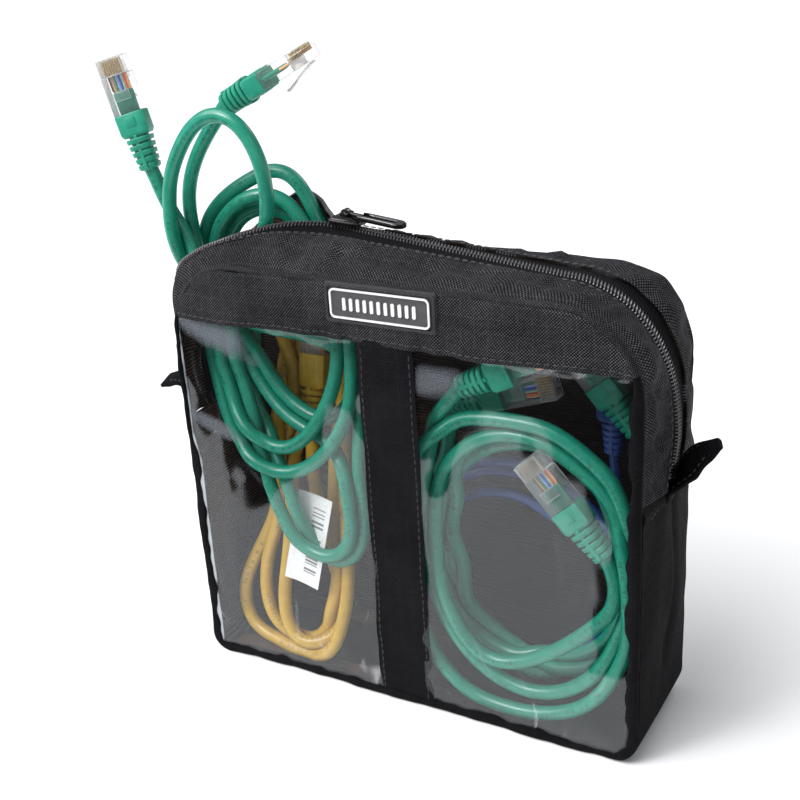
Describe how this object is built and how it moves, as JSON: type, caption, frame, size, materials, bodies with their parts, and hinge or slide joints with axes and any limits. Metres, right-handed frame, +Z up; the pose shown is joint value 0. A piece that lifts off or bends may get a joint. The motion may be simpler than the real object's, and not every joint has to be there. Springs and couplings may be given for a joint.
{
  "type": "patch lead pouch",
  "caption": "Zipped black nylon pouch with two clear front windows, half open at the top, holding coiled network patch leads with clear modular plugs.",
  "frame": {"origin": "middle of the pouch's footprint, on the surface it stands on", "axes": "+Z up, the front with the windows faces -Y, +X to the right seen from the front"},
  "size_m": [0.2448, 0.0568, 0.2515],
  "materials": {
    "ripstop_nylon": "black ripstop weave, satin",
    "edge_binding": "black woven binding tape",
    "clear_film": "clear flexible vinyl, glossy",
    "zip_tape": "black knitted zip tape",
    "zip_coil": "black nylon coil",
    "slider_metal": "gloss black enamel",
    "puller_metal": "gloss black enamel",
    "zip_stop": "black enamel",
    "badge_rubber": "matte moulded rubber",
    "badge_relief": "matte moulded rubber, pale",
    "inner_binding": "brown-black ribbed binding",
    "green_sheath": "green cable sheath, satin",
    "yellow_sheath": "yellow cable sheath, satin",
    "blue_sheath": "blue cable sheath, satin",
    "clear_plug": "clear moulded plastic",
    "contact_gold": "gold-plated, polished",
    "core_insulation": "coloured wire insulation",
    "label_paper": "white paper, matte"
  },
  "bodies": {
    "pouch": {"front_top_band": "ripstop_nylon", "front_center_strip": "ripstop_nylon", "window_left": "clear_film", "window_right": "clear_film", "front_piping": "edge_binding", "back_panel": "ripstop_nylon", "back_piping": "edge_binding", "lower_gusset": "ripstop_nylon", "zip_gusset_front": "ripstop_nylon", "zip_gusset_back": "ripstop_nylon", "zip_tape_front": "zip_tape", "zip_tape_back": "zip_tape", "zip_teeth_front": "zip_coil", "zip_teeth_back": "zip_coil", "zip_stops": "zip_stop", "tab_left": "ripstop_nylon", "tab_right": "ripstop_nylon", "badge": "badge_rubber", "badge_emblem": "badge_relief", "seam_tape_front": "inner_binding", "seam_tape_back": "inner_binding", "yellow_coil": "yellow_sheath", "yellow_tails": "yellow_sheath", "yellow_boots": "yellow_sheath", "yellow_plugs": "clear_plug", "yellow_label": "label_paper", "lead_b_coil": "green_sheath", "lead_b_tails": "green_sheath", "lead_b_boots": "green_sheath", "lead_b_plugs": "clear_plug", "lead_c_coil": "green_sheath", "lead_c_tails": "green_sheath", "lead_c_boots": "green_sheath", "lead_c_plugs": "clear_plug", "blue_coil": "blue_sheath", "blue_tails": "blue_sheath", "blue_boots": "blue_sheath", "blue_plugs": "clear_plug", "stored_contacts": "contact_gold", "stored_cores": "core_insulation"},
    "slider": {"zip_slider": "slider_metal"},
    "puller": {"zip_puller": "puller_metal"},
    "lead_a": {"lead_a_coil": "green_sheath", "lead_a_tails": "green_sheath", "lead_a_boots": "green_sheath", "lead_a_plugs": "clear_plug", "lead_a_contacts": "contact_gold", "lead_a_cores": "core_insulation"},
    "lead_a_latch_1": {"lead_a_latch_1": "clear_plug"},
    "lead_a_latch_2": {"lead_a_latch_2": "clear_plug"},
    "yellow_latch_1": {"yellow_latch_1": "clear_plug"},
    "yellow_latch_2": {"yellow_latch_2": "clear_plug"},
    "lead_b_latch_1": {"lead_b_latch_1": "clear_plug"},
    "lead_b_latch_2": {"lead_b_latch_2": "clear_plug"},
    "lead_c_latch_1": {"lead_c_latch_1": "clear_plug"},
    "lead_c_latch_2": {"lead_c_latch_2": "clear_plug"},
    "blue_latch_1": {"blue_latch_1": "clear_plug"},
    "blue_latch_2": {"blue_latch_2": "clear_plug"}
  },
  "joints": [
    {"name": "zip_slide", "type": "slide", "parent": "pouch", "child": "slider", "axis": [0.9934, 0, -0.1149], "range_m": [0, 0.07]},
    {"name": "puller_hinge", "type": "hinge", "parent": "slider", "child": "puller", "pos_m": [-0.02883, 0, 0.18971], "axis": [0, -1, 0], "range_deg": [0, 100]},
    {"name": "lead_a_lift", "type": "slide", "parent": "pouch", "child": "lead_a", "axis": [-0.342, 0.2273, 0.9118], "range_m": [0, 0.16]},
    {"name": "lead_a_latch_1_press", "type": "hinge", "parent": "lead_a", "child": "lead_a_latch_1", "pos_m": [-0.12555, -0.00434, 0.24275], "axis": [-0.8867, -0.3746, -0.2711], "range_deg": [0, 12], "stiffness_Nm_per_rad": 0.02},
    {"name": "lead_a_latch_2_press", "type": "hinge", "parent": "lead_a", "child": "lead_a_latch_2", "pos_m": [-0.03926, 0.00069, 0.24338], "axis": [-0.0788, 0.9848, 0.1547], "range_deg": [0, 12], "stiffness_Nm_per_rad": 0.02},
    {"name": "yellow_latch_1_press", "type": "hinge", "parent": "pouch", "child": "yellow_latch_1", "pos_m": [-0.055, 0.01749, 0.14077], "axis": [-1, 0, 0], "range_deg": [0, 12], "stiffness_Nm_per_rad": 0.02},
    {"name": "yellow_latch_2_press", "type": "hinge", "parent": "pouch", "child": "yellow_latch_2", "pos_m": [-0.0205, 0.01995, 0.158], "axis": [0, 0, 1], "range_deg": [0, 12], "stiffness_Nm_per_rad": 0.02},
    {"name": "lead_b_latch_1_press", "type": "hinge", "parent": "pouch", "child": "lead_b_latch_1", "pos_m": [0.05223, -0.01605, 0.11184], "axis": [-0.7431, 0, -0.6691], "range_deg": [0, 12], "stiffness_Nm_per_rad": 0.02},
    {"name": "lead_b_latch_2_press", "type": "hinge", "parent": "pouch", "child": "lead_b_latch_2", "pos_m": [0.0623, -0.01405, 0.15419], "axis": [-0.4384, 0, 0.8988], "range_deg": [0, 12], "stiffness_Nm_per_rad": 0.02},
    {"name": "lead_c_latch_1_press", "type": "hinge", "parent": "pouch", "child": "lead_c_latch_1", "pos_m": [0.05347, -0.00005, 0.13582], "axis": [-0.309, 0, 0.9511], "range_deg": [0, 12], "stiffness_Nm_per_rad": 0.02},
    {"name": "lead_c_latch_2_press", "type": "hinge", "parent": "pouch", "child": "lead_c_latch_2", "pos_m": [0.05532, 0.00205, 0.14979], "axis": [0.766, 0, 0.6428], "range_deg": [0, 12], "stiffness_Nm_per_rad": 0.02},
    {"name": "blue_latch_1_press", "type": "hinge", "parent": "pouch", "child": "blue_latch_1", "pos_m": [0.084, 0.01895, 0.1375], "axis": [-1, 0, 0], "range_deg": [0, 12], "stiffness_Nm_per_rad": 0.02},
    {"name": "blue_latch_2_press", "type": "hinge", "parent": "pouch", "child": "blue_latch_2", "pos_m": [0.07, 0.01895, 0.1455], "axis": [-1, 0, 0], "range_deg": [0, 12], "stiffness_Nm_per_rad": 0.02}
  ]
}
